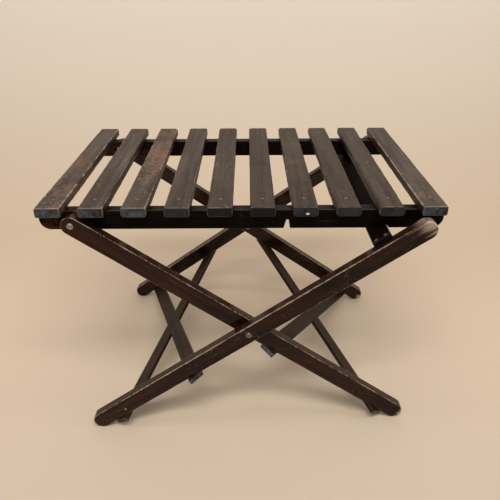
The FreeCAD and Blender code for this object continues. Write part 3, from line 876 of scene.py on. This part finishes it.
def dress_board():
    """The stop board between legs B, finished as the rails are."""
    values = {**RAIL_FINISH, **BOARD_WEAR, "Seed": 90.0}
    half = Vector((box_half("stop_board").y, *BOARD_HALF))
    material = board_wood("board_wood", box_centre("stop_board"), AWAY, UP_B, half, values,
                          BOARD_SHINE)
    dress("stop_board", material)


# ---- rivets, screws and a nail ----
METALNESS = 0.92
BLOTCH_WAVES = 420.0
BLOTCH_SPAN = (0.42, 0.68)
BLOTCH_COVER = 0.75
MARK_WAVES = 2600.0
NAIL_ALONG = -289.0 * MM
NAIL_UP = -4.0 * MM
NAIL_RADIUS = 2.1 * MM
NAIL_HEIGHT = 0.5 * MM
NAIL_ROOT = 0.4 * MM


def metal(name, base, tarnish, rough):
    """Dull steel with brown tarnish in soft blotches and fine handling marks."""
    material, t = new_material(name)
    place = t.add("ShaderNodeTexCoord").outputs["Object"]
    blotch = t.span(t.noise(place, BLOTCH_WAVES, 4.0, 0.6), *BLOTCH_SPAN)
    tint = cover(t, BLOTCH_COVER, blotch, colour(*base), colour(*tarnish))
    dull = t.maths("ADD", t.maths("MULTIPLY", blotch, 0.22), rough)
    raised = t.add("ShaderNodeBump", {"Height": t.noise(place, MARK_WAVES, 2.0, 0.6),
                                      "Strength": 0.3, "Distance": 0.2 * MM})
    shader = t.add("ShaderNodeBsdfPrincipled", {
        "Base Color": tint, "Roughness": dull, "Metallic": METALNESS, "Normal": raised.outputs[0]})
    t.add("ShaderNodeOutputMaterial", {"Surface": shader.outputs[0]})
    return material


def dress_fasteners():
    """Bright rivets and frame screws, brown pivots, and dark screws in the slats. Gives the
    metal of the frame screws."""
    rivet_metal = metal("rivet_metal", (0.46, 0.36, 0.32), (0.16, 0.10, 0.075), 0.38)
    brown_rivet = metal("brown_rivet_metal", (0.27, 0.19, 0.155), (0.11, 0.065, 0.045), 0.42)
    screw_metal = metal("screw_metal", (0.46, 0.41, 0.36), (0.14, 0.09, 0.06), 0.42)
    dark_screw = metal("dark_screw_metal", (0.26, 0.23, 0.21), (0.10, 0.07, 0.05), 0.46)
    for node in frame["nodes"]:
        if "rivet" in node or "washers" in node or "roves" in node:
            dress(node, brown_rivet if node.startswith("pivot") else rivet_metal)
        if "screws" in node:
            dress(node, dark_screw if node.startswith("slat") else screw_metal)
    return screw_metal


def nail_head(nail_metal):
    """Low dome on the front of the left front foot: circles that shrink as the cosine of an
    angle while they rise as its sine."""
    middle = PIVOT + ALONG_B * NAIL_ALONG + UP_B * NAIL_UP
    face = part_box("leg_b_front")[0][1]
    rise = np.linspace(0.0, 1.3, 7)
    radius = NAIL_RADIUS * np.concatenate([[1.0], np.cos(rise)])
    out = np.concatenate([[-NAIL_ROOT], NAIL_HEIGHT * np.sin(rise)])
    turn = np.linspace(0.0, 2.0 * math.pi, 25)[:-1]
    x = middle.x + radius[:, None] * np.cos(turn)[None, :]
    z = middle.z + radius[:, None] * np.sin(turn)[None, :]
    y = np.repeat((face - out)[:, None], len(turn), 1)
    piece = closed_tube("nail_head", np.stack([x, y, z], axis=2))
    piece.data.materials.append(nail_metal)
    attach(piece, "leg_frame_b")


# ---- room, lights and camera ----

def room():
    """Seamless sweep: a profile of floor, quarter bend and wall carried along x. The wall is painted
    brighter than the floor and the floor darker towards the front, as painted light.
    """
    front = np.linspace(-ROOM_HALF, ROOM_BACK_Y - ROOM_BEND, 24)
    turn = np.linspace(0.0, math.pi / 2.0, 24)[1:]
    wall = np.linspace(ROOM_BEND, ROOM_HEIGHT, 12)[1:]
    y = np.concatenate([front, ROOM_BACK_Y - ROOM_BEND + ROOM_BEND * np.sin(turn),
                        np.full(wall.shape, ROOM_BACK_Y)])
    z = np.concatenate([np.zeros(front.shape), ROOM_BEND * (1.0 - np.cos(turn)), wall])
    x = np.linspace(-ROOM_HALF, ROOM_HALF, 12)
    points = np.stack([np.repeat(x[None, :], len(y), 0), np.repeat(y[:, None], len(x), 1),
                       np.repeat(z[:, None], len(x), 1)], axis=2).reshape(-1, 3)
    sweep = mesh_piece("backdrop", points, grid_faces(len(y), len(x)))
    material, t = new_material("backdrop_paper")
    place = t.parts(t.add("ShaderNodeTexCoord").outputs["Object"])
    # one paper, painted brighter up the wall as painted light
    tint = t.mix(t.span(place[2], 0.0, WALL_BLEND_HEIGHT), colour(*FLOOR_COLOUR),
                 colour(*PAINTED_BRIGHT_WALL_COLOUR))
    # painted shade: the floor darkens towards the front as light falls off
    shade = t.alike(t.span(place[1], *PAINTED_FALLOFF_SPAN, *PAINTED_FALLOFF_SHADE))
    tint = t.mix(1.0, tint, shade, "MULTIPLY")
    shader = t.add("ShaderNodeBsdfPrincipled", {"Base Color": tint, "Roughness": PAPER_ROUGHNESS})
    t.add("ShaderNodeOutputMaterial", {"Surface": shader.outputs[0]})
    sweep.data.materials.append(material)


def softbox(name, place, aim, size, power):
    """Rectangular area lamp turned to face a point."""
    data = bpy.data.lights.new(name, "AREA")
    data.shape = "RECTANGLE"
    data.size, data.size_y = size
    data.energy = power
    lamp = bpy.data.objects.new(name, data)
    lamp.location = place
    lamp.rotation_euler = (Vector(aim) - Vector(place)).to_track_quat("-Z", "Y").to_euler()
    bpy.context.scene.collection.objects.link(lamp)


def set_lights():
    """Even world light and the softboxes: above, in front, and along both sides."""
    world = bpy.data.worlds.new("soft_room")
    world.use_nodes = True
    background = world.node_tree.nodes["Background"]
    background.inputs["Color"].default_value = WORLD_COLOUR
    background.inputs["Strength"].default_value = WORLD_LEVEL
    bpy.context.scene.world = world
    for name, (place, aim, size, power) in SOFTBOXES.items():
        softbox(name, place, aim, size, power)


def set_camera():
    """Camera from its place, its downward tilt, its yaw and its roll about the view."""
    data = bpy.data.cameras.new("camera")
    data.lens = LENS_MM
    data.sensor_width = SENSOR_MM
    camera = bpy.data.objects.new("camera", data)
    bpy.context.scene.collection.objects.link(camera)
    tilt = Matrix.Rotation(math.radians(90.0 - CAMERA_DOWN_DEG), 4, "X")
    yaw = Matrix.Rotation(math.radians(-CAMERA_YAW_DEG), 4, "Z")
    roll = Matrix.Rotation(math.radians(-CAMERA_ROLL_DEG), 4, "Z")
    camera.matrix_world = Matrix.Translation(Vector(CAMERA_PLACE)) @ yaw @ tilt @ roll
    bpy.context.scene.camera = camera


dress_slats()
dress_rails()
dress_legs()
dress_braces()
dress_board()
screw_metal = dress_fasteners()
nail_head(screw_metal)
room()
set_lights()
set_camera()
bpy.context.scene.view_settings.view_transform = "Standard"
